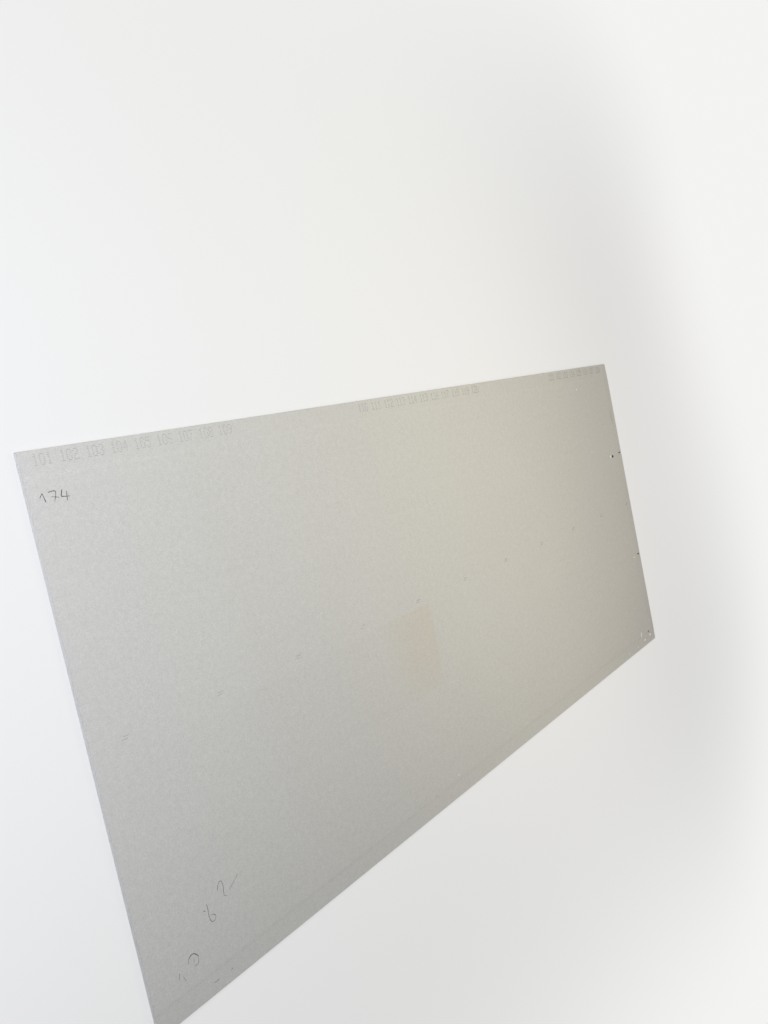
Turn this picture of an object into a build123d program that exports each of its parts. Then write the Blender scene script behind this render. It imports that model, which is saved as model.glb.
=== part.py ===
from build123d import *
import math
import os

# Drywall sheet: one board of gypsum in a paper wrap, lying flat with its front face up.
# Lengths are in millimetres. X runs along the sheet, Y across it and Z up through it.
# The origin is the middle of the back face.

# The whole sheet
sheet_length = 2600.0
sheet_width = 1200.0
sheet_thickness = 12.5

# The taper that is rolled into the front face along each long edge, to take the joint filler
taper_width = 50.0
taper_depth = 1.5

# The taper sets in as a soft bend, which reaches this far to each side of its bend line
bend_reach = 10.0

# The face paper is folded round the long edges, over these outer radii
front_fold_radius = 2.0
back_fold_radius = 1.2


def soft_bend_radius():
    """Radius of the arc that joins the flat of the face to the slope of the taper."""
    slope = math.atan2(taper_depth, taper_width)
    return bend_reach / math.tan(slope / 2)


def section_outline():
    """Corners of the cross-section in Y and Z, anticlockwise, each with its rounding radius."""
    side = sheet_width / 2
    bend_line = side - taper_width
    edge_height = sheet_thickness - taper_depth
    bend_radius = soft_bend_radius()
    return [
        ((-side, 0), back_fold_radius),
        ((side, 0), back_fold_radius),
        ((side, edge_height), front_fold_radius),
        ((bend_line, sheet_thickness), bend_radius),
        ((-bend_line, sheet_thickness), bend_radius),
        ((-side, edge_height), front_fold_radius),
    ]


def make_sheet():
    """The section drawn across the sheet and run out to the two square-cut ends."""
    corners = [corner for corner, radius in section_outline()]
    radii = [radius for corner, radius in section_outline()]
    with BuildPart() as board:
        with BuildSketch(Plane.YZ):
            with BuildLine():
                FilletPolyline(*corners, radius=radii, close=True)
            make_face()
        extrude(amount=sheet_length / 2, both=True)
    return board.part


drywall_sheet = make_sheet()
drywall_sheet.label = "drywall_sheet"

os.makedirs("parts", exist_ok=True)
export_step(drywall_sheet, "parts/drywall_sheet.step")

box = drywall_sheet.bounding_box()
print(f"drywall_sheet {box.size.X:.1f} x {box.size.Y:.1f} x {box.size.Z:.2f} mm")
print(f"volume {drywall_sheet.volume / 1e9:.5f} m3, soft bend radius {soft_bend_radius():.0f} mm")
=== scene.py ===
# %% [markdown]
# # A drywall sheet, finished in Blender around its fixed frame
# The real sheet is one board. Gypsum was poured between two papers, and the face paper was folded
# round both long edges. Here the board lies on its back, with its front face up.
# The frame gives the board at its real size. The cells below add what the eye sees on it, from
# the light and the papers to the printing, the pencil marks and the small knocks.

# %% Load the fixed frame
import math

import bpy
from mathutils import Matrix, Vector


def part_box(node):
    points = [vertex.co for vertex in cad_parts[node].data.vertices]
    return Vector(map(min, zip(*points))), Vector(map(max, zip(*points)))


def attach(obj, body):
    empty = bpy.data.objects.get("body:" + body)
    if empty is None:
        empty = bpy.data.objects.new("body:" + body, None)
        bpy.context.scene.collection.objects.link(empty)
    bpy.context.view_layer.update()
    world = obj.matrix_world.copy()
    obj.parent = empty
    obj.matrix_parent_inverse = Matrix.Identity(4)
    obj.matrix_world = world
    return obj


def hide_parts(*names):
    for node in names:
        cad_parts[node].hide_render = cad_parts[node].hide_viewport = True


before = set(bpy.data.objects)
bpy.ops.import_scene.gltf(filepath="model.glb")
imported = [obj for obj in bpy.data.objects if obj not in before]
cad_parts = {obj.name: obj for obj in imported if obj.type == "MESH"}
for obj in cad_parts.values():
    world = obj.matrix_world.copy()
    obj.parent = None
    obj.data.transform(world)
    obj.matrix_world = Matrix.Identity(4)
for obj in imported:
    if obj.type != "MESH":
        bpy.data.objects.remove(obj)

# %% [markdown]
# ## The board's measures
# A scene that is built from a few sizes can be checked and changed. The length, width and
# thickness are read from the frame. The frame doesn't name the rolled taper or the folds, so
# they are written here once, in metres, and every later cell uses these names.

scene = bpy.context.scene
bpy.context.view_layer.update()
board_low, board_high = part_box("drywall_sheet")
LENGTH, WIDTH, THICKNESS = board_high - board_low
MM_PER_M = 1000

TAPER_WIDTH = 0.050
TAPER_DEPTH = 0.0015
BEND_REACH = 0.010
FRONT_FOLD = 0.0020
BACK_FOLD = 0.0012

print(f"board {LENGTH:.3f} x {WIDTH:.3f} x {THICKNESS:.4f} m")

# %% [markdown]
# ## The camera
# The view is that of a phone held over one end of the board and rolled, so that the board runs
# up and away from lower left to upper right. A camera could be placed by eye, but the four edges
# of a known rectangle fix its place, its direction and its lens. The vectors below come from
# such a fit. A lens is written in pixels of the picture's long side and turned into millimetres.

# %% Camera
PICTURE_HEIGHT = 1024
FOCAL_PIXELS = 845.0
SENSOR_WIDTH = 36.0
CAMERA_PLACE = Vector((-2.0939, 0.4815, 1.5557))
CAMERA_LOOK = Vector((0.75641, -0.08404, -0.64867))
CAMERA_UP = Vector((0.19672, 0.97503, 0.10307))

camera_data = bpy.data.cameras.new("camera")
camera_data.sensor_width = SENSOR_WIDTH
camera_data.lens = FOCAL_PIXELS / PICTURE_HEIGHT * SENSOR_WIDTH
camera = bpy.data.objects.new("camera", camera_data)
scene.collection.objects.link(camera)
backward = -CAMERA_LOOK.normalized()
rightward = CAMERA_UP.cross(backward).normalized()
upward = backward.cross(rightward)
axes = Matrix((rightward, upward, backward)).transposed()
camera.matrix_world = Matrix.Translation(CAMERA_PLACE) @ axes.to_4x4()
scene.camera = camera
print(f"lens {camera_data.lens:.2f} mm, camera {CAMERA_PLACE.length:.2f} m from the board's middle")

# %% [markdown]
# ## Writing node trees as sums
# Every material and every Geometry Nodes tree below is a set of nodes and wires. Placing them
# one by one hides the rule that they stand for. A small class wraps a socket and answers to
# Python's own signs, so that `1 - mask` adds a Math node and wires it. A second class adds any
# other node: its settings first, because they decide which sockets it has, and then its inputs.
# It also has two short words of its own, to make a vector from its parts and to take one apart.

# %% Wires
class Wire:
    """One socket of a node. Sums and comparisons on it add their Math nodes."""

    def __init__(self, socket):
        self.socket = socket

    def out(self, name):
        """Another output of the same node."""
        outputs = self.socket.node.outputs
        return Wire(next(each for each in outputs if each.enabled and each.name == name))

    def math(self, operation, *values):
        """A Math node with this operation on these values."""
        return Tree(self.socket.id_data).add("ShaderNodeMath", {"operation": operation}, values)

    def at_least(self, limit):
        return self.math("MAXIMUM", self, limit)

    def at_most(self, limit):
        return self.math("MINIMUM", self, limit)

    def __add__(self, other):
        return self.math("ADD", self, other)

    def __sub__(self, other):
        return self.math("SUBTRACT", self, other)

    def __rsub__(self, other):
        return self.math("SUBTRACT", other, self)

    def __mul__(self, other):
        return self.math("MULTIPLY", self, other)

    def __truediv__(self, other):
        return self.math("DIVIDE", self, other)

    def __pow__(self, other):
        return self.math("POWER", self, other)

    def __lt__(self, other):
        return self.math("LESS_THAN", self, other)

    def __gt__(self, other):
        return self.math("GREATER_THAN", self, other)

    def __abs__(self):
        return self.math("ABSOLUTE", self)

    __radd__ = __add__
    __rmul__ = __mul__


print("wires ready")

# %% Trees
class Tree:
    """A node tree, and the one way in which nodes are added to it."""

    def __init__(self, tree):
        self.tree = tree

    def add(self, kind, settings=(), inputs=()):
        """A new node's first output. Inputs go in by name, or in the order of its sockets."""
        node = self.tree.nodes.new(kind)
        for name, value in dict(settings).items():
            setattr(node, name, value)
        sockets = [each for each in node.inputs if each.enabled]
        if isinstance(inputs, dict):
            named = [next(each for each in sockets if each.name == name) for name in inputs]
            pairs = zip(named, inputs.values())
        else:
            pairs = zip(sockets, inputs)
        for socket, value in pairs:
            for each in value if isinstance(value, list) else [value]:
                if isinstance(each, Wire):
                    self.tree.links.new(each.socket, socket)
                else:
                    socket.default_value = each
        outputs = [each for each in node.outputs if each.enabled]
        return Wire(outputs[0]) if outputs else None

    def vector(self, x, y=0.0, z=0.0):
        """A vector made of its parts."""
        return self.add("ShaderNodeCombineXYZ", {}, [x, y, z])

    def parts(self, vector):
        """The three parts of a vector."""
        first = self.add("ShaderNodeSeparateXYZ", {}, [vector])
        return first, first.out("Y"), first.out("Z")


print("trees ready")

# %% [markdown]
# ## Light
# The light is strongest and coolest over the near upper end, and it falls off towards the far
# end and the lower edge. A studio does this with large soft lamps that hang close over the work.
# Large lamps give soft shadows, and a near lamp gives the fall-off. Two more lamps stand lower,
# off the far end and the lower edge, so that these sides aren't dark from other views. The world
# adds a low even fill. Lamps are hidden from the camera so that no view shows their panels.

# %% Lamps
LAMPS = {
    "near_lamp": {"place": (-2.16, 0.79, 1.60), "aim": (-1.30, 0.60, 0.0), "watts": 39.6,
                  "colour": (0.834, 0.867, 1.0)},
    "upper_lamp": {"place": (0.11, 1.08, 1.60), "aim": (-1.30, 0.60, 0.0), "watts": 12.2,
                   "colour": (1.0, 0.968, 0.739)},
    "middle_lamp": {"place": (0.51, -0.15, 1.60), "aim": (1.30, 0.60, 0.0), "watts": 13.5,
                    "colour": (1.0, 0.918, 0.793)},
    "far_lamp": {"place": (2.90, 0.90, 0.75), "aim": (1.30, 0.10, 0.0), "watts": 12.6,
                 "colour": (1.0, 0.915, 0.895)},
    "low_lamp": {"place": (0.60, -2.60, 0.80), "aim": (0.40, -0.60, 0.0), "watts": 9.4,
                 "colour": (0.923, 0.923, 1.0)},
}
LAMP_SIDE = 1.6


def hang_lamp(name, place, aim, watts, colour):
    """A soft square lamp at a place, turned to look at a point of the board."""
    data = bpy.data.lights.new(name, "AREA")
    data.shape = "SQUARE"
    data.size = LAMP_SIDE
    data.energy = watts
    data.color = colour
    lamp = bpy.data.objects.new(name, data)
    lamp.location = place
    lamp.rotation_euler = (Vector(aim) - Vector(place)).to_track_quat("-Z", "Y").to_euler()
    lamp.visible_camera = False
    scene.collection.objects.link(lamp)


for name, values in LAMPS.items():
    hang_lamp(name, **values)
print("lamps", ", ".join(LAMPS))

# %% World
WHITE = (1.0, 1.0, 1.0, 1.0)
FILL_STRENGTH = 0.107
BACKDROP_COLOUR = (0.90, 0.90, 0.89, 1.0)


def seen_directly(tree):
    """1 for what the camera, a reflection or glass sees, and 0 for light on its way to a surface."""
    path = tree.add("ShaderNodeLightPath")
    seen = path.out("Is Camera Ray") + path.out("Is Glossy Ray") + path.out("Is Transmission Ray")
    return seen.at_most(1.0)


world = bpy.data.worlds.new("studio")
world.use_nodes = True
world.node_tree.nodes.clear()
sky = Tree(world.node_tree)
fill = sky.add("ShaderNodeBackground", {}, {"Color": WHITE, "Strength": FILL_STRENGTH})
backdrop = sky.add("ShaderNodeBackground", {}, {"Color": BACKDROP_COLOUR, "Strength": 1.0})
lit = sky.add("ShaderNodeMixShader", {}, [seen_directly(sky), fill, backdrop])
sky.add("ShaderNodeOutputWorld", {}, {"Surface": lit})
scene.world = world
scene.view_settings.view_transform = "Standard"
print(f"world fill {FILL_STRENGTH}")

# %% [markdown]
# ## Words that the materials share
# All the finishes here are dry and matt: paper, gypsum, ink and pencil. Each is a colour, a
# roughness and a small relief. Object coordinates are metres on the real board, so a noise of
# scale 100 has patches of about a centimetre. Each noise below is given its scale, then how many
# finer layers lie on it and how strong they are. Relief goes through a Bump node whose distance
# is the real height of the grain.

# %% Places and patterns
NOISE_GAIN = 4.0
SPECK_CORE = 0.6


def start_material(name):
    """An empty material, its tree, and the place on the board in metres."""
    material = bpy.data.materials.new(name)
    material.use_nodes = True
    material.node_tree.nodes.clear()
    tree = Tree(material.node_tree)
    return material, tree, tree.add("ShaderNodeTexCoord").out("Object")


def noise(tree, where, scale, detail=2.0, roughness=0.5):
    """Smooth noise about 0, mostly between -1 and 1."""
    made = tree.add("ShaderNodeTexNoise", {}, {
        "Vector": where, "Scale": scale, "Detail": detail, "Roughness": roughness})
    return (made - 0.5) * NOISE_GAIN


def stretched(tree, where, scales):
    """The place with each axis multiplied, which draws a pattern out where the scale is small."""
    return tree.add("ShaderNodeMapping", {}, {"Vector": where, "Scale": scales})


def soft_step(tree, value, low, high):
    """0 below low, 1 above high and smooth between."""
    settings = {"interpolation_type": "SMOOTHSTEP"}
    return tree.add("ShaderNodeMapRange", settings, {"Value": value, "From Min": low, "From Max": high})


def specks(tree, where, scale, radius, share):
    """1 inside small round specks, one at most in each cell, in a share of the cells.

    A cell's colour repeats the place of its speck, so the lot is drawn from a noise of the colour.
    """
    cells = tree.add("ShaderNodeTexVoronoi", {}, {"Vector": where, "Scale": scale})
    lot = tree.add("ShaderNodeTexWhiteNoise", {}, [cells.out("Color")])
    near = 1 - soft_step(tree, cells, radius * scale * SPECK_CORE, radius * scale)
    return near * (lot < share)


print("patterns ready")

# %% Colours and surfaces
MATT_SPECULAR = 0.35


def shaded(tree, colour, amount):
    """A colour made lighter or darker by a value."""
    return tree.add("ShaderNodeVectorMath", {"operation": "SCALE"}, {"Vector": colour, "Scale": amount})


def mixed(tree, share, first, second):
    """The first colour, turning into the second as the share grows from 0 to 1."""
    return tree.add("ShaderNodeMix", {"data_type": "RGBA"}, [share, first, second])


def cover(material, tree, colour, roughness, relief, depth):
    """Ends a material: a matt surface with this colour, roughness and relief of that depth."""
    grain = tree.add("ShaderNodeBump", {}, {"Distance": depth, "Height": relief})
    surface = tree.add("ShaderNodeBsdfPrincipled", {}, {
        "Base Color": colour, "Roughness": roughness, "Specular IOR Level": MATT_SPECULAR,
        "Normal": grain})
    tree.add("ShaderNodeOutputMaterial", {}, {"Surface": surface})
    print("material", material.name)
    return material


print("colours ready")

# %% [markdown]
# ## The floor
# The board needs something to lie on, and its shadow shows that it does. A plain pale plane is
# enough. Part of what the camera sees of it is a glow in the backdrop's colour, which keeps the
# floor pale where the lamps fall off. The other part is lit as usual and carries the shadow. The
# glow's share grows with the distance from the board, so the floor melts into the backdrop.

# %% Floor
FLOOR_REACH = 14.0
FLOOR_GAP = 0.0003
FLOOR_COLOUR = (0.84, 0.84, 0.83, 1.0)
GLOW_SHARE = 0.58
GLOW_GROWS = (0.0, 2.0)


def floor_paint():
    """Matt pale paint that also glows for the camera, most of all far from the board."""
    material, tree, where = start_material("floor_paint")
    spread = tree.add("ShaderNodeVectorMath", {"operation": "ABSOLUTE"}, [where])
    beyond = tree.add("ShaderNodeVectorMath", {"operation": "SUBTRACT"}, [spread, board_high])
    outside = tree.add("ShaderNodeVectorMath", {"operation": "MAXIMUM"}, [beyond, (0, 0, 0)])
    away = tree.add("ShaderNodeVectorMath", {"operation": "LENGTH"}, [outside])
    share = GLOW_SHARE + (1 - GLOW_SHARE) * soft_step(tree, away, *GLOW_GROWS)
    matt = tree.add("ShaderNodeBsdfDiffuse", {}, {"Color": FLOOR_COLOUR})
    glow = tree.add("ShaderNodeEmission", {}, {"Color": BACKDROP_COLOUR, "Strength": 1.0})
    surface = tree.add("ShaderNodeMixShader", {}, [seen_directly(tree) * share, matt, glow])
    tree.add("ShaderNodeOutputMaterial", {}, {"Surface": surface})
    return material


corners = [(x * FLOOR_REACH, y * FLOOR_REACH, board_low.z - FLOOR_GAP)
           for x, y in ((-1, -1), (1, -1), (1, 1), (-1, 1))]
floor_mesh = bpy.data.meshes.new("floor")
floor_mesh.from_pydata(corners, [], [(0, 1, 2, 3)])
floor_mesh.materials.append(floor_paint())
floor = bpy.data.objects.new("floor", floor_mesh)
scene.collection.objects.link(floor)
print(f"floor {2 * FLOOR_REACH:.0f} m square")

# %% [markdown]
# ## Face paper
# The front and the long edges are covered by a smooth ivory-grey paper. It isn't one flat tone.
# Pulp settles in clouds, the web shows a mottle of about a centimetre, and the fibres lie along
# the length, because that is how the paper ran through the machine. Handling has left grey at the
# far end. A rectangle of the face is a little darker, and warmer towards its right side.
# Painted light and shade make the bend of each taper a faint line, pale at the upper edge and
# grey at the lower one.
# All of these are noises and soft steps, and they only nudge one written colour.

# %% Wear of the face paper
PATCH_X = (-0.950, -0.179)
PATCH_Y = (-0.260, -0.0165)
PATCH_X_SOFTNESS = (0.040, 0.007)
PATCH_Y_SOFTNESS = (0.006, 0.004)
WARM_X = (-0.43, -0.27)
WARM_Y = (-0.26, -0.16)
WARM_LEAST = 0.4
SMUDGE_PLACE = (1.2695, 0.377)
SMUDGE_SIZE = (0.010, 0.032)
SMUDGE_FADE = (0.2, 1.4)


def soft_range(tree, value, ends, softness):
    """1 between two ends and 0 outside them, with its own softness at each end."""
    begun = soft_step(tree, value, ends[0] - softness[0], ends[0] + softness[0])
    ended = soft_step(tree, value, ends[1] - softness[1], ends[1] + softness[1])
    return begun * (1 - ended)


# A slightly darker rectangle of the face, warmer towards its right and top.
def worn_patch(tree, along, across):
    """The share of the dull patch, and that of its warm part, which grows to the right and up."""
    in_x = soft_range(tree, along, PATCH_X, PATCH_X_SOFTNESS)
    in_y = soft_range(tree, across, PATCH_Y, PATCH_Y_SOFTNESS)
    dull = in_x * in_y
    rightward = soft_step(tree, along, *WARM_X)
    upward = WARM_LEAST + (1 - WARM_LEAST) * soft_step(tree, across, *WARM_Y)
    return dull, dull * rightward * upward


def smudge(tree, along, across):
    """A grey thumb mark near the far end."""
    off_x = (along - SMUDGE_PLACE[0]) / SMUDGE_SIZE[0]
    off_y = (across - SMUDGE_PLACE[1]) / SMUDGE_SIZE[1]
    return 1 - soft_step(tree, off_x * off_x + off_y * off_y, *SMUDGE_FADE)


print(f"worn patch {PATCH_X[1] - PATCH_X[0]:.2f} x {PATCH_Y[1] - PATCH_Y[0]:.2f} m")

# %% Face paper
PAPER_COLOUR = (0.600, 0.594, 0.552)
PAPER_ROUGHNESS = 0.80
FELT_DEPTH = 0.00003
PAINTED_BEND_SHADING = ((0.5475, 0.018), (-0.5525, -0.032))
PAINTED_BEND_FADE = (0.001, 0.007)
HANDLED_REACH = 0.050
HANDLED_DULLING = 0.035
SMUDGE_DULLING = 0.10
PATCH_DULLING = 0.009
PATCH_TINT = (1.000, 0.968, 0.921, 1.0)


def make_face_paper():
    material, tree, where = start_material("ivory_face_paper")
    along, across = tree.parts(where)[:2]

    clouds = noise(tree, where, 2.6, 2)
    mottle = noise(tree, where, 75, 3, 0.6)
    web = noise(tree, where, 260, 2, 0.6)
    pulp = noise(tree, where, 700, 2, 0.6)
    drawn_out = noise(tree, stretched(tree, where, (60, 700, 400)), 1.0, 2)
    bands = noise(tree, stretched(tree, where, (0.5, 30, 1)), 1.0, 2)
    tone = 1 + clouds * 0.010 + mottle * 0.040 + web * 0.080 + pulp * 0.070
    tone = tone + drawn_out * 0.012 + bands * 0.006

    dark_specks = specks(tree, where, 70, 0.0006, 0.30)
    pale_specks = specks(tree, where, 45, 0.0008, 0.20)
    tone = tone * (1 - dark_specks * 0.18) + pale_specks * 0.05

    # Painted light and shade along each taper's bend: paler at the upper edge, greyer at the lower one.
    for line, change in PAINTED_BEND_SHADING:
        beside = soft_step(tree, abs(across - line), *PAINTED_BEND_FADE)
        tone = tone * (1 + (1 - beside) * change)

    past_end = along - LENGTH / 2 + noise(tree, where, 9, 3) * 0.012
    handled = soft_step(tree, past_end, -HANDLED_REACH, 0.0)
    thumb = smudge(tree, along, across) * (0.8 + noise(tree, where, 90, 2) * 0.4)
    dull, warm = worn_patch(tree, along, across)
    for share, dulling in ((handled, HANDLED_DULLING), (thumb, SMUDGE_DULLING), (dull, PATCH_DULLING)):
        tone = tone * (1 - share * dulling)
    tint = mixed(tree, warm, WHITE, PATCH_TINT)
    colour = tree.add("ShaderNodeVectorMath", {"operation": "MULTIPLY"}, [PAPER_COLOUR, tint])

    felt = pulp + web * 0.4 + drawn_out * 0.6 + noise(tree, where, 60, 2) * 0.8
    rough = PAPER_ROUGHNESS + mottle * 0.03 + thumb * 0.05
    return cover(material, tree, shaded(tree, colour, tone), rough, felt, FELT_DEPTH)


face_paper = make_face_paper()

# %% [markdown]
# ## Back paper
# The back is covered by a plain grey-brown paper of mixed waste fibre, cheaper and rougher than
# the face. No photograph is needed to know it: it is flecked with darker and paler fibres.
# The same words make it, with a browner colour, stronger flecks and deeper felt.

# %% Back paper
BACK_COLOUR = (0.440, 0.395, 0.325)
BACK_ROUGHNESS = 0.88
BACK_FELT_DEPTH = 0.00005


def make_back_paper():
    material, tree, where = start_material("brown_back_paper")
    clouds = noise(tree, where, 5, 2)
    mottle = noise(tree, where, 110, 3, 0.6)
    fibres = noise(tree, stretched(tree, where, (90, 600, 300)), 1.0, 3, 0.7)
    dark_flecks = specks(tree, stretched(tree, where, (0.4, 1, 1)), 260, 0.0011, 0.35)
    pale_flecks = specks(tree, stretched(tree, where, (0.5, 1, 1)), 180, 0.0013, 0.25)
    tone = 1 + clouds * 0.03 + mottle * 0.03 + fibres * 0.03
    tone = tone * (1 - dark_flecks * 0.30) + pale_flecks * 0.14
    felt = fibres * 0.7 + noise(tree, where, 500, 3, 0.6)
    rough = BACK_ROUGHNESS + mottle * 0.03
    return cover(material, tree, shaded(tree, BACK_COLOUR, tone), rough, felt, BACK_FELT_DEPTH)


back_paper = make_back_paper()

# %% [markdown]
# ## Gypsum
# The core shows only at the two cut ends. Set gypsum is chalk-white, dull and full of small air
# bubbles. The saw drags it into faint upright scratches. Round specks make the bubbles: their
# insides are darkened with painted shade and sunk in the relief, and a stretched noise makes the
# scratches.

# %% Gypsum
GYPSUM_COLOUR = (0.760, 0.750, 0.705)
GYPSUM_ROUGHNESS = 0.93
SAWN_DEPTH = 0.00022


def make_gypsum():
    material, tree, where = start_material("set_gypsum")
    grain = noise(tree, where, 1400, 2, 0.7)
    lumps = noise(tree, where, 160, 3, 0.6)
    scratches = noise(tree, stretched(tree, where, (500, 900, 60)), 1.0, 2)
    bubbles = specks(tree, where, 520, 0.00050, 0.55)
    large_bubbles = specks(tree, where, 210, 0.00085, 0.30)
    holes = bubbles.at_least(large_bubbles)
    # The bubbles are darkened with painted shade in their hollows, and sunk in the relief below.
    tone = (1 + lumps * 0.04 + grain * 0.03 + scratches * 0.03) * (1 - holes * 0.32)
    relief = grain * 0.25 + lumps * 0.5 + scratches * 0.5 - holes * 2.0
    rough = GYPSUM_ROUGHNESS + lumps * 0.02
    return cover(material, tree, shaded(tree, GYPSUM_COLOUR, tone), rough, relief, SAWN_DEPTH)


gypsum = make_gypsum()

# %% [markdown]
# ## Growing a piece with Geometry Nodes
# The board's own shape and its marks all follow rules, which is what Geometry Nodes are for. A
# tree gets a named input for each size. It runs as a modifier, and its result is kept as a plain
# mesh, so that nothing live is left behind. A modifier's inputs are known by identifiers, so the
# names are looked up once, before the result is asked for.

# %% Starting a tree
SOCKET_KINDS = {float: "NodeSocketFloat", int: "NodeSocketInt", bpy.types.Object: "NodeSocketObject"}


def start_shape(name, sizes):
    """A Geometry Nodes tree with an input for each size, and the node that gives them."""
    group = bpy.data.node_groups.new(name, "GeometryNodeTree")
    group.interface.new_socket("Geometry", in_out="INPUT", socket_type="NodeSocketGeometry")
    for label, value in sizes.items():
        group.interface.new_socket(label, in_out="INPUT", socket_type=SOCKET_KINDS[type(value)])
    group.interface.new_socket("Geometry", in_out="OUTPUT", socket_type="NodeSocketGeometry")
    tree = Tree(group)
    return tree, tree.add("NodeGroupInput")


print("sizes may be", ", ".join(kind.__name__ for kind in SOCKET_KINDS))

# %% Growing
def grow(name, tree, sizes, start=None):
    """Runs a tree on a mesh, or on nothing, and returns its result as a plain mesh object."""
    host = bpy.data.objects.new("host", start or bpy.data.meshes.new("host"))
    scene.collection.objects.link(host)
    maker = host.modifiers.new("maker", "NODES")
    maker.node_group = tree.tree
    for item in tree.tree.interface.items_tree:
        if item.in_out == "INPUT" and item.name in sizes:
            maker[item.identifier] = sizes[item.name]
    shaped = host.evaluated_get(bpy.context.evaluated_depsgraph_get())
    mesh = bpy.data.meshes.new_from_object(shaped)
    host.modifiers.remove(maker)
    bpy.data.objects.remove(host)
    mesh.name = name
    piece = bpy.data.objects.new(name, mesh)
    scene.collection.objects.link(piece)
    triangles = sum(len(face.vertices) - 2 for face in mesh.polygons)
    print(f"{name}: {triangles} triangles")
    return piece


def join_board(piece):
    """The piece is part of the one body."""
    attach(piece, "root")


print("growing ready")

# %% [markdown]
# ## The board
# The board is one closed block: two papers, a core and two sawn ends. It could be cut from
# solids and joined, but one block that is bent into shape keeps a watertight skin. The tree
# starts from a cube of size 1, in slices along it, columns across it and rows through it.
# Materials are given while it is still a cube, where each part is a plain range of numbers. Then
# one rule sends every point to its place: slices crowd towards the ends and columns round the
# folds, the face drops into the taper, and the rows through the thickness follow the papers and
# the core. The taper starts with a small shoulder, where the rolling strip began. The faint line
# along each long edge is painted light and shade in the face paper. The core stands back from
# the cut paper and is rough. On the back, the folded face paper is a strip along each edge, set a
# small step deeper than the back paper that was glued over it.

# %% Board sizes
SLICES = 35
COLUMNS = 801
ROWS = 13
LAST_COLUMN = COLUMNS - 1
LAST_ROW = ROWS - 1
WRAP_COLUMNS = 3
FOLD_COLUMNS = 6
PAPER_ROWS = 1
SKIN_ROWS = 2
END_CROWDING = 2.4
END_EDGE = 0.4999
RIGHT_ANGLE = math.pi / 2
SHARP_ANGLE = math.radians(32)
LAP_STEP_REACH = (0.0004, 0.0012)
CRUMBS = (420, 3, 0.7)
CHIPS = (60, 2)
CHIPS_START = (0.9, 1.7)
WAVES = (35, 3, 0.7)

board_sizes = {
    "Length": LENGTH,
    "Width": WIDTH,
    "Thickness": THICKNESS,
    "Taper Width": TAPER_WIDTH,
    "Taper Depth": TAPER_DEPTH,
    "Bend Reach": BEND_REACH,
    "Shoulder Drop": 0.00026,
    "Shoulder Reach": 0.005,
    "Front Fold": FRONT_FOLD,
    "Back Fold": BACK_FOLD,
    "Skin": 0.00010,
    "Paper": 0.00045,
    "Paper Gap": 0.00008,
    "Lap Width": 0.022,
    "Lap Step": 0.00030,
    "Core Depth": 0.00035,
    "Core Roughness": 0.00022,
    "Chip Depth": 0.00080,
    "Paper Wave": 0.00012,
}
print(f"{len(board_sizes)} sizes, {SLICES} slices, {COLUMNS} columns, {ROWS} rows")

# %% Board section
def distance_out(size, row, turn, column):
    """Distance from the middle line, with the columns rounded over the folds."""
    fold = size.out("Back Fold") + (size.out("Front Fold") - size.out("Back Fold")) * (row / LAST_ROW)
    beyond_fold = (column - FOLD_COLUMNS).at_least(0.0) / (LAST_COLUMN / 2 - FOLD_COLUMNS)
    return (size.out("Width") / 2 - fold * (1 - turn.math("COSINE", turn))) * (1 - beyond_fold)


def face_height(tree, size, out, unturned):
    """Height of the face: flat, then the soft bend and the shoulder, the taper and the fold."""
    reach = size.out("Bend Reach")
    past_bend = out - (size.out("Width") / 2 - size.out("Taper Width"))
    in_bend = (past_bend + reach).at_least(0.0).at_most(reach * 2)
    sunk = in_bend * in_bend / (reach * 4) + (past_bend - reach).at_least(0.0)
    slope = (size.out("Taper Depth") - size.out("Shoulder Drop")) / size.out("Taper Width")
    half_shoulder = size.out("Shoulder Reach")
    shoulder = soft_step(tree, past_bend, 0 - half_shoulder, half_shoulder) * size.out("Shoulder Drop")
    fall = sunk * slope + shoulder + size.out("Front Fold") * unturned
    return size.out("Thickness") - size.out("Skin") - fall


def back_height(tree, size, out, unturned, lap_line):
    """Height of the back: the back paper, the lap beside it and the fold."""
    in_lap = soft_step(tree, out, lap_line - LAP_STEP_REACH[0], lap_line + LAP_STEP_REACH[1])
    return size.out("Back Fold") * unturned + size.out("Lap Step") * in_lap


def row_height(tree, size, row, face, back):
    """Height of a row through the thickness: paper, gap, core, gap, paper."""
    paper, gap = size.out("Paper"), size.out("Paper Gap")

    def skin_below(rows):
        """Height of the papers and gaps that lie under so many rows."""
        return paper * rows.at_most(1.0) + gap * tree.add("ShaderNodeClamp", {}, {"Value": rows - 1})

    core_share = (row - SKIN_ROWS) / (LAST_ROW - 2 * SKIN_ROWS)
    share = tree.add("ShaderNodeClamp", {}, {"Value": core_share})
    core_height = face - back - (paper + gap) * 2
    return back + skin_below(row) + core_height * share + (paper + gap) - skin_below(LAST_ROW - row)


def cut_depth(tree, size, spot, in_core):
    """How far a cut end stands back: the papers in waves, and the core deeper, rough and chipped."""
    crumbled = noise(tree, spot, *CRUMBS) * size.out("Core Roughness")
    chipped = soft_step(tree, noise(tree, spot, *CHIPS), *CHIPS_START) * size.out("Chip Depth")
    core = size.out("Core Depth") + crumbled + chipped
    wave = (1 + noise(tree, spot, *WAVES)) * size.out("Paper Wave")
    return in_core * core.at_least(0.0) + wave.at_least(0.0)


print(f"{FOLD_COLUMNS} columns round each fold, {LAST_ROW - 2 * SKIN_ROWS} steps through the core")

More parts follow.
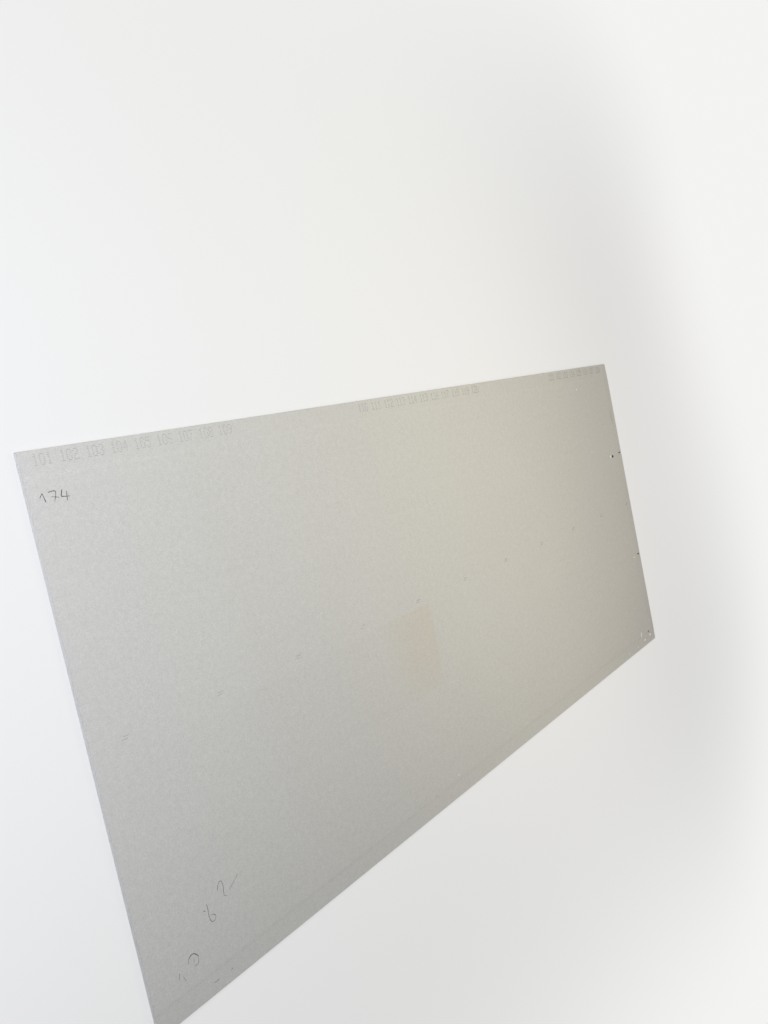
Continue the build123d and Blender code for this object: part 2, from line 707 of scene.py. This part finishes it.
# %% Board shape
def board_shape():
    tree, size = start_shape("board_shape", board_sizes)
    cube = tree.add("GeometryNodeMeshCube", {}, {
        "Size": (1, 1, 1), "Vertices X": SLICES, "Vertices Y": COLUMNS, "Vertices Z": ROWS})
    along, across, through = tree.parts(tree.add("GeometryNodeInputPosition"))
    row = (through + 0.5) * LAST_ROW
    column = (0.5 - abs(across)) * LAST_COLUMN
    at_end = abs(along) > END_EDGE

    # The section, in the plane across the board
    turn = (column / FOLD_COLUMNS).at_most(1.0) * RIGHT_ANGLE
    unturned = 1 - turn.math("SINE", turn)
    lap_line = size.out("Width") / 2 - size.out("Lap Width")
    out = distance_out(size, row, turn, column)
    face = face_height(tree, size, out, unturned)
    back = back_height(tree, size, out, unturned, lap_line)
    height = row_height(tree, size, row, face, back)

    # The places along the board, with both ends cut
    below_top = row < LAST_ROW - SKIN_ROWS + 0.5
    in_core = (row > SKIN_ROWS - 0.5) * below_top * (column > WRAP_COLUMNS - 0.5)
    depth = at_end * cut_depth(tree, size, tree.vector(along, out, height), in_core)
    inward = 1 - (1 - abs(along) * 2) ** END_CROWDING
    along_place = along.math("SIGN", along) * (size.out("Length") / 2 * inward - depth)
    across_place = across.math("SIGN", across) * out
    placed = tree.vector(along_place, across_place, height)

    # Materials first, on the cube, and then the places
    sawn = at_end * (row > PAPER_ROWS) * (row < LAST_ROW - PAPER_ROWS) * (column > WRAP_COLUMNS)
    lined = (row < PAPER_ROWS) * (out < lap_line)
    board = tree.add("GeometryNodeSetMaterial", {}, {"Geometry": cube, "Material": face_paper})
    for region, material in ((lined, back_paper), (sawn, gypsum)):
        board = tree.add("GeometryNodeSetMaterial", {}, {
            "Geometry": board, "Selection": region, "Material": material})
    board = tree.add("GeometryNodeSetShadeSmooth", {}, {"Geometry": board})
    board = tree.add("GeometryNodeSetPosition", {}, {"Geometry": board, "Position": placed})
    tree.add("NodeGroupOutput", {}, {"Geometry": board})
    return tree


board = grow("sheet_body", board_shape(), board_sizes)
board.data.set_sharp_from_angle(angle=SHARP_ANGLE)
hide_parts("drywall_sheet")
join_board(board)

# %% [markdown]
# ## Laying marks on the face
# Ink and pencil are films on the paper. They could be painted into the paper's material, but
# then they would be only as sharp as its noise. Instead each mark is a very thin closed shape
# of its own. The face drops into the taper, so a mark can't just be set at one height: a ray is
# shot down at the board from every point of a mark, and the point lands where the ray does.
# A hundredth of a millimetre of it is sunk into the paper, and its top stays under the board's
# full height.

# %% Laying on the face
FILM = 0.00006
SUNK = 0.00001
RAY_START = 1.0


def laid_on_board(tree, marks, board_object):
    """Drops flat marks onto the board. Each point keeps its own height above the paper."""
    target = tree.add("GeometryNodeObjectInfo", {}, {"Object": board_object}).out("Geometry")
    along, across, own_height = tree.parts(tree.add("GeometryNodeInputPosition"))
    ray = tree.add("GeometryNodeRaycast", {}, {
        "Target Geometry": target, "Source Position": tree.vector(along, across, RAY_START),
        "Ray Direction": (0, 0, -1), "Ray Length": 2 * RAY_START})
    landed = tree.parts(ray.out("Hit Position"))[-1]
    lifted = tree.vector(along, across, landed + own_height - SUNK)
    return tree.add("GeometryNodeSetPosition", {}, {"Geometry": marks, "Position": lifted})


def end_marks(tree, marks, board_object, material):
    """Ends a tree of marks: real faces, laid on the board, in one material."""
    solid = tree.add("GeometryNodeRealizeInstances", {}, {"Geometry": marks})
    laid = laid_on_board(tree, solid, board_object)
    coloured = tree.add("GeometryNodeSetMaterial", {}, {"Geometry": laid, "Material": material})
    tree.add("NodeGroupOutput", {}, {"Geometry": coloured})
    return tree


def raised(tree, mark, scale=(1, 1, 1)):
    """A mark that was made about the plane, scaled and set to stand on it."""
    return tree.add("GeometryNodeTransform", {}, {
        "Geometry": mark, "Translation": (0, 0, FILM / 2), "Scale": scale})


print(f"marks are {FILM * MM_PER_M:.2f} mm of film")

# %% [markdown]
# ## Ink
# The maker's printer sprays drops of thin grey ink as the board runs past. Paper drinks it, so
# it stays matt and lets the mottle through, and no drop is full black. The print is faintest at
# the near end. The colour is the paper's own, darkened by a share that changes along the board.

# %% Ink
INK_COLOUR = (0.290, 0.292, 0.290)
INK_SHARE_NEAR = 0.46
INK_SHARE_FAR = 0.90
INK_GROWS = (-1.0, 0.6)
INK_ROUGHNESS = 0.82


def make_ink():
    material, tree, where = start_material("edge_ink")
    along = tree.parts(where)[0]
    patchy = noise(tree, where, 22, 3, 0.6) * 0.10 + noise(tree, where, 700, 2) * 0.06
    fuller = soft_step(tree, along, *INK_GROWS)
    share = INK_SHARE_NEAR + (INK_SHARE_FAR - INK_SHARE_NEAR) * fuller + patchy
    colour = mixed(tree, share, (*PAPER_COLOUR, 1.0), (*INK_COLOUR, 1.0))
    rough = INK_ROUGHNESS + patchy * 0.2
    return cover(material, tree, colour, rough, noise(tree, where, 650, 3), FELT_DEPTH)


edge_ink = make_ink()

# %% [markdown]
# ## Numbers along the edge
# Inside the upper long edge runs a line of print in three stretches: plain counting numbers. An
# inkjet head has seven nozzles in a column, so every figure is a small grid of drops. Text
# objects would give clean outlines, which is not how such print looks. So each figure is seven
# rows of dots, and a tree sets one drop on every point. The drops differ in size, wander a little
# and are missing here and there, as from a tired nozzle.

# %% Number dots
DIGITS = {
    "0": ("01110", "10001", "10001", "10001", "10001", "10001", "01110"),
    "1": ("00100", "01100", "00100", "00100", "00100", "00100", "01110"),
    "2": ("01110", "10001", "00001", "00110", "01000", "10000", "11111"),
    "3": ("01110", "10001", "00001", "00110", "00001", "10001", "01110"),
    "4": ("00010", "00110", "01010", "10010", "11111", "00010", "00010"),
    "5": ("11111", "10000", "11110", "00001", "00001", "10001", "01110"),
    "6": ("00110", "01000", "10000", "11110", "10001", "10001", "01110"),
    "7": ("11111", "00001", "00010", "00100", "00100", "01000", "01000"),
    "8": ("01110", "10001", "10001", "01110", "10001", "10001", "01110"),
    "9": ("01110", "10001", "10001", "01111", "00001", "00010", "01100"),
}
NUMBER_RUNS = (
    (-1.271, 101, 109),
    (-0.308, 110, 120),
    (0.800, 121, 128),
)
PRINT_BASE = 0.5695
DROP_PITCH_ALONG = 0.0024
DROP_PITCH_ACROSS = 0.0035
CHARACTER_DROPS = 6


def number_dots(start, first, last):
    """The drops of a row of counting numbers that starts at a place along the board."""
    row = " ".join(str(number) for number in range(first, last + 1))
    for position, character in enumerate(row):
        for height, line in enumerate(reversed(DIGITS.get(character, ()))):
            for dot, filled in enumerate(line):
                if filled == "1":
                    along = start + (position * CHARACTER_DROPS + dot) * DROP_PITCH_ALONG
                    yield along, PRINT_BASE + height * DROP_PITCH_ACROSS


def points_mesh(name, places):
    """Loose points on the plane, for a tree to start from."""
    mesh = bpy.data.meshes.new(name)
    mesh.from_pydata([(x, y, 0.0) for x, y in places], [], [])
    return mesh


number_places = [place for run in NUMBER_RUNS for place in number_dots(*run)]
print(len(number_places), "drops of print")

# %% Drops of ink
DROP_SIDES = 8
DROP_SCALES = (0.80, 1.12)


def random_number(tree, low, high, seed):
    """A number of its own for each point."""
    return tree.add("FunctionNodeRandomValue", {}, {"Min": low, "Max": high, "Seed": seed})


def ink_drops(tree, size, dots):
    """One flat drop of ink on every point, a little longer along the board."""
    disc = tree.add("GeometryNodeMeshCylinder", {}, {
        "Vertices": DROP_SIDES, "Radius": size.out("Drop Radius"), "Depth": FILM})
    drop = raised(tree, disc, tree.vector(size.out("Drop Length"), 1.0, 1.0))
    seed = size.out("Seed")
    wander = size.out("Wander")
    off_along = wander * random_number(tree, -1.0, 1.0, seed)
    off_across = wander * random_number(tree, -1.0, 1.0, seed + 1)
    offset = tree.vector(off_along, off_across)
    moved = tree.add("GeometryNodeSetPosition", {}, {"Geometry": dots, "Offset": offset})
    printed = random_number(tree, 0.0, 1.0, seed + 2) > size.out("Missing")
    return tree.add("GeometryNodeInstanceOnPoints", {}, {
        "Points": moved, "Selection": printed, "Instance": drop,
        "Scale": random_number(tree, *DROP_SCALES, seed + 3)})


print(f"drops with {DROP_SIDES} sides")

# %% Numbers laid on the board
number_sizes = {
    "Board": board,
    "Drop Radius": 0.00120,
    "Drop Length": 1.35,
    "Wander": 0.00025,
    "Missing": 0.06,
    "Seed": 4,
}


def number_shape():
    tree, size = start_shape("number_shape", number_sizes)
    drops = ink_drops(tree, size, size.out("Geometry"))
    return end_marks(tree, drops, size.out("Board"), edge_ink)


edge_numbers = grow("edge_numbers", number_shape(), number_sizes, points_mesh("dots", number_places))
join_board(edge_numbers)

# %% [markdown]
# ## Fixing marks
# Down the middle of the face a printed mark comes about every quarter metre, to show where the
# studs and screws go. Each is two short dashes of the same drops, one shifted over the other.
# This is repetition on repetition, so no list is written: a line of drops is set on a pair of
# points, and the pair is set on a line that runs down the board.

# %% Fixing marks
mark_sizes = {
    "Board": board,
    "Marks": 11,
    "First Mark": -1.2302,
    "Mark Pitch": 0.2483,
    "Mark Line": 0.0,
    "Dash Drops": 6,
    "Drop Pitch": 0.0026,
    "Dash Shift": 0.0050,
    "Dash Gap": 0.0060,
    "Drop Radius": 0.00125,
    "Drop Length": 1.25,
    "Wander": 0.00025,
    "Missing": 0.06,
    "Seed": 21,
}


def row_of_points(tree, count, start, step):
    """A line of points with the same step between them."""
    places = {"Count": count, "Start Location": start, "Offset": step}
    return tree.add("GeometryNodeMeshLine", {}, places)


def mark_shape():
    tree, size = start_shape("mark_shape", mark_sizes)
    first = tree.vector(size.out("First Mark"), size.out("Mark Line"))
    step = tree.vector(size.out("Mark Pitch"))
    marks = row_of_points(tree, size.out("Marks"), first, step)
    shift = tree.vector(size.out("Dash Shift"), size.out("Dash Gap"))
    pair = row_of_points(tree, 2, (0, 0, 0), shift)
    pitch = tree.vector(size.out("Drop Pitch"))
    dash = row_of_points(tree, size.out("Dash Drops"), (0, 0, 0), pitch)
    for several in (pair, marks):
        set_out = tree.add("GeometryNodeInstanceOnPoints", {}, {"Points": several, "Instance": dash})
        dash = tree.add("GeometryNodeRealizeInstances", {}, {"Geometry": set_out})
    return end_marks(tree, ink_drops(tree, size, dash), size.out("Board"), edge_ink)


fixing_marks = grow("fixing_marks", mark_shape(), mark_sizes)
join_board(fixing_marks)

# %% [markdown]
# ## Pencil
# The board has been written on: a plain number near the upper corner of the near end, and a few
# loose loops and ticks lower down that mean nothing. A pencil stroke is a soft line whose width
# follows the hand's pressure, and whose darkness follows the tooth of the paper. Each one below
# starts with its pressure, and a few points in millimetres follow. They become a smooth curve,
# and the tree runs a thin ribbon along it and lets its width breathe.

# %% Pencil lead
LEAD_COLOUR = (0.030, 0.030, 0.033)
LEAD_SHARE = 0.78
LEAD_ROUGHNESS = 0.62


def make_pencil_lead():
    material, tree, where = start_material("pencil_lead")
    tooth = noise(tree, where, 900, 2, 0.6) * 0.15 + noise(tree, where, 120, 2) * 0.25
    colour = mixed(tree, LEAD_SHARE + tooth, (*PAPER_COLOUR, 1.0), (*LEAD_COLOUR, 1.0))
    return cover(material, tree, colour, LEAD_ROUGHNESS + tooth * 0.3, tooth, FELT_DEPTH)


pencil_lead = make_pencil_lead()

# %% Pencil strokes
NUMBER_WIDTH = 0.0019
NUMBER_PLACE = (-1.278, 0.493)
NUMBER_STROKES = (
    (0.9, (1, 13), (5, 17), (8, 22)),
    (1.2, (8, 22), (10, 14), (12, 3)),
    (1.0, (20, 21), (27, 23), (37, 22), (36, 17), (33, 9), (29, -1)),
    (0.8, (24, 12), (32, 11), (42, 8)),
    (1.2, (50, 23), (48, 16), (45, 9), (52, 8), (64, 7)),
    (1.0, (59, 19), (58, 9), (56, -2)),
)
SCRIBBLE_WIDTH = 0.0011
SCRIBBLE_PLACE = (-1.240, -0.529)
SCRIBBLE_STROKES = (
    (1.3, (110, 122), (111, 108), (109, 92), (112, 78), (121, 76), (127, 83), (122, 92), (112, 93)),
    (1.4, (98, 112), (104, 107)),
    (1.1, (142, 128), (148, 146), (158, 148), (161, 136), (158, 120), (157, 112), (165, 108)),
    (0.9, (172, 117), (184, 122), (203, 138)),
    (2.3, (39, 37), (45, 44), (57, 42), (63, 31)),
    (1.1, (63, 34), (63, 22), (57, 15), (49, 17)),
    (1.0, (39, 39), (37, 29)),
    (1.0, (52, 34), (50, 25)),
    (0.9, (12, 26), (9, 11)),
    (0.8, (19, 14), (23, 0)),
    (1.2, (85, -45), (92, -46), (100, -45)),
    (0.9, (130, -46), (139, -44)),
)
print(len(NUMBER_STROKES), "strokes of the number and", len(SCRIBBLE_STROKES), "loose ones")

# %% Curves of the strokes
CURVE_ORDER = 3


def drawn(name, place, strokes):
    """Smooth open curves through a few points, in millimetres from a place on the board."""
    data = bpy.data.curves.new(name, "CURVE")
    data.dimensions = "3D"
    for press, *stroke in strokes:
        line = data.splines.new("NURBS")
        line.points.add(len(stroke) - 1)
        for point, (x, y) in zip(line.points, stroke):
            point.co = (place[0] + x / MM_PER_M, place[1] + y / MM_PER_M, 0.0, 1.0)
            point.radius = press
        line.order_u = CURVE_ORDER
        line.use_endpoint_u = True
    strokes_object = bpy.data.objects.new(name, data)
    scene.collection.objects.link(strokes_object)
    return strokes_object


print(f"curves of order {CURVE_ORDER}")

# %% Ribbons of lead
STROKE_STEP = 0.0012
STROKE_ENDS = (-0.04, 0.12)
SHAKE_SCALE = 130


def wandering(tree, where, scale, amount, elsewhere):
    """A flat offset that changes smoothly with the place. Its two parts read different noise."""
    other_place = tree.add("ShaderNodeVectorMath", {}, [where, elsewhere])
    off_along = noise(tree, where, scale, 2) * amount
    off_across = noise(tree, other_place, scale, 2) * amount
    return tree.vector(off_along, off_across)


def stroke_shape(sizes):
    tree, size = start_shape("stroke_shape", sizes)
    lines = tree.add("GeometryNodeObjectInfo", {}, {"Object": size.out("Strokes")}).out("Geometry")
    steps = {"Curve": lines, "Length": STROKE_STEP}
    fine = tree.add("GeometryNodeResampleCurve", {"mode": "LENGTH"}, steps)
    place = tree.add("GeometryNodeInputPosition")
    offset = wandering(tree, place, SHAKE_SCALE, size.out("Shake"), elsewhere=(3, 3, 3))
    shaken = tree.add("GeometryNodeSetPosition", {}, {"Geometry": fine, "Offset": offset})
    upright = tree.add("GeometryNodeSetCurveNormal", {"mode": "Z_UP"}, {"Curve": shaken})
    ribbon = tree.add("GeometryNodeCurvePrimitiveQuadrilateral", {}, {
        "Width": size.out("Line Width"), "Height": FILM})
    done = tree.add("GeometryNodeSplineParameter")
    from_end = 0.5 - abs(done - 0.5)
    press = tree.add("GeometryNodeInputRadius") * (0.85 + noise(tree, place, 160, 2) * 0.35)
    pressure = soft_step(tree, from_end, *STROKE_ENDS) * press
    swept = tree.add("GeometryNodeCurveToMesh", {}, {
        "Curve": upright, "Profile Curve": ribbon, "Scale": pressure, "Fill Caps": True})
    return end_marks(tree, raised(tree, swept), size.out("Board"), pencil_lead)


print(f"a point every {STROKE_STEP * MM_PER_M} mm of a stroke")

# %% Strokes laid on the board
HAND_SHAKE = 0.00022


def write_in_pencil(name, place, strokes, width):
    """Draws strokes, grows their ribbons and lays them on the board."""
    lines = drawn(name + "_lines", place, strokes)
    sizes = {"Board": board, "Strokes": lines, "Line Width": width, "Shake": HAND_SHAKE}
    piece = grow(name, stroke_shape(sizes), sizes)
    bpy.data.objects.remove(lines)
    join_board(piece)


write_in_pencil("pencil_number", NUMBER_PLACE, NUMBER_STROKES, NUMBER_WIDTH)
write_in_pencil("pencil_scribbles", SCRIBBLE_PLACE, SCRIBBLE_STROKES, SCRIBBLE_WIDTH)

# %% [markdown]
# ## Pricks, torn spots and white flecks
# The board has been handled. Near the far end there are four pricks, and beside one of them
# the paper is torn up and shows its white underside. Flecks of gypsum lie by the far end, most of
# them near its lower corner, and one chip sits by the lower edge. Each is a flat patch with a
# ragged outline, so a prick is no hole: the shade inside its hole is painted black on the patch.
# The places of the patches in metres, their half lengths and half widths in
# millimetres and their turns in degrees are a short list, kept on the points as attributes. The
# tree puts a disc on every point and frays it with noise. Each disc also carries how far in from
# its rim every spot lies, so that a prick can be painted black shade inside and broken grey at
# its rim, and a torn spot can thin out into the paper round it.

# %% Patches
PRICKS = (
    (1.2122, 0.2157, 9.8, 6.2, 4),
    (1.2831, 0.2220, 9.5, 3.0, 176),
    (1.2820, -0.2193, 9.5, 3.2, 172),
    (1.2439, -0.5516, 6.0, 3.6, 10),
)
TORN_SPOTS = (
    (1.1950, 0.2172, 8.6, 6.8, 4),
    (1.1700, -0.5450, 4.8, 13.0, 160),
    (1.1980, -0.5755, 9.0, 4.2, 5),
    (1.2560, -0.5690, 9.5, 4.6, 172),
    (-0.2070, -0.5380, 2.9, 2.2, 40),
    (1.0020, 0.5165, 4.0, 3.0, 0),
    (1.0370, -0.5820, 4.2, 2.2, 12),
    (1.1240, -0.5830, 4.6, 2.4, 3),
    (1.2390, -0.2240, 8.0, 2.2, 172),
)


def patch_points(name, patches):
    """Points that carry the half lengths, half widths and turns of flat patches."""
    mesh = points_mesh(name, [patch[:2] for patch in patches])
    spread = mesh.attributes.new("spread", "FLOAT_VECTOR", "POINT")
    turn = mesh.attributes.new("turn", "FLOAT_VECTOR", "POINT")
    for index, patch in enumerate(patches):
        half_length, half_width, degrees = patch[2:]
        spread.data[index].vector = (half_length / MM_PER_M, half_width / MM_PER_M, 1.0)
        turn.data[index].vector = (0.0, 0.0, math.radians(degrees))
    return mesh


print(len(PRICKS), "pricks and", len(TORN_SPOTS), "torn spots and flecks")

# %% Patch shape
DISC_SIDES = 20
DISC_RINGS = 3
FRAY_SCALE = 420


def named_vector(tree, name):
    """An attribute of the points."""
    return tree.add("GeometryNodeInputNamedAttribute", {"data_type": "FLOAT_VECTOR"}, {"Name": name})


def patch_shape(sizes, material):
    tree, size = start_shape("patch_shape", sizes)
    disc = tree.add("GeometryNodeMeshCylinder", {}, {
        "Vertices": DISC_SIDES, "Fill Segments": DISC_RINGS, "Radius": 1.0, "Depth": FILM})
    x, y = tree.parts(tree.add("GeometryNodeInputPosition"))[:2]
    from_rim = 1 - (x * x + y * y) ** 0.5
    patch = tree.add("GeometryNodeStoreNamedAttribute", {"data_type": "FLOAT", "domain": "POINT"}, {
        "Geometry": raised(tree, disc), "Name": "from_rim", "Value": from_rim})
    turned = tree.add("FunctionNodeEulerToRotation", {}, [named_vector(tree, "turn")])
    patches = tree.add("GeometryNodeInstanceOnPoints", {}, {
        "Points": size.out("Geometry"), "Instance": patch, "Rotation": turned,
        "Scale": named_vector(tree, "spread")})
    solid = tree.add("GeometryNodeRealizeInstances", {}, {"Geometry": patches})
    place = tree.add("GeometryNodeInputPosition")
    flat = tree.add("ShaderNodeVectorMath", {"operation": "MULTIPLY"}, [place, (1, 1, 0)])
    offset = wandering(tree, flat, FRAY_SCALE, size.out("Fray"), elsewhere=(5, 5, 5))
    frayed = tree.add("GeometryNodeSetPosition", {}, {"Geometry": solid, "Offset": offset})
    return end_marks(tree, frayed, size.out("Board"), material)


print(f"patches with {DISC_SIDES} sides and {DISC_RINGS} rings")

# %% Finishes of the patches
PRICK_PAINTED_SHADE_COLOUR = (0.022, 0.020, 0.018, 1.0)
PRICK_RIM_COLOUR = (0.330, 0.310, 0.270, 1.0)
PRICK_RIM_BAND = (0.00, 0.08)
PRICK_SHADE_BAND = (0.08, 0.26)
PRICK_BUMP_DEPTH = 0.0002
TORN_COLOUR = (0.930, 0.924, 0.900, 1.0)
TORN_BAND = (0.02, 0.20)
TORN_BUMP_DEPTH = 0.00015
BROKEN_ROUGHNESS = 0.95


def distance_in(tree):
    """How far in from its patch's rim a spot lies, as the discs carry it."""
    return tree.add("ShaderNodeAttribute", {"attribute_name": "from_rim"}).out("Fac")


def make_prick_shade():
    """Painted shade for a prick's hole, black inside, with broken paper and gypsum round its rim."""
    material, tree, where = start_material("prick_shade")
    crumbs = noise(tree, where, 1100, 3, 0.7)
    from_rim = distance_in(tree)
    broken = soft_step(tree, from_rim + crumbs * 0.10, *PRICK_RIM_BAND)
    # The black inside is painted shade: the patch is flat, and the hole's shade is drawn on it.
    inside = soft_step(tree, from_rim + crumbs * 0.12, *PRICK_SHADE_BAND)
    rim = mixed(tree, broken, (*PAPER_COLOUR, 1.0), PRICK_RIM_COLOUR)
    colour = shaded(tree, mixed(tree, inside, rim, PRICK_PAINTED_SHADE_COLOUR), 1 + crumbs * 0.20)
    return cover(material, tree, colour, BROKEN_ROUGHNESS, crumbs - inside, PRICK_BUMP_DEPTH)


def make_torn_paper():
    """The white, hairy inside of the paper, and the gypsum dust that lies in it."""
    material, tree, where = start_material("torn_paper")
    hairs = noise(tree, stretched(tree, where, (400, 1100, 400)), 1.0, 3, 0.7)
    torn = soft_step(tree, distance_in(tree) + hairs * 0.16, *TORN_BAND)
    bare = mixed(tree, torn, (*PAPER_COLOUR, 1.0), TORN_COLOUR)
    colour = shaded(tree, bare, 1 + hairs * 0.05)
    return cover(material, tree, colour, BROKEN_ROUGHNESS, hairs, TORN_BUMP_DEPTH)


prick_shade = make_prick_shade()
torn_paper = make_torn_paper()

# %% Patches laid on the board
PRICK_FRAY = 0.0003
TORN_FRAY = 0.0009

for name, patches, material, fray in (
        ("prick_marks", PRICKS, prick_shade, PRICK_FRAY),
        ("torn_spots", TORN_SPOTS, torn_paper, TORN_FRAY)):
    patch_sizes = {"Board": board, "Fray": fray}
    join_board(grow(name, patch_shape(patch_sizes, material), patch_sizes, patch_points(name, patches)))
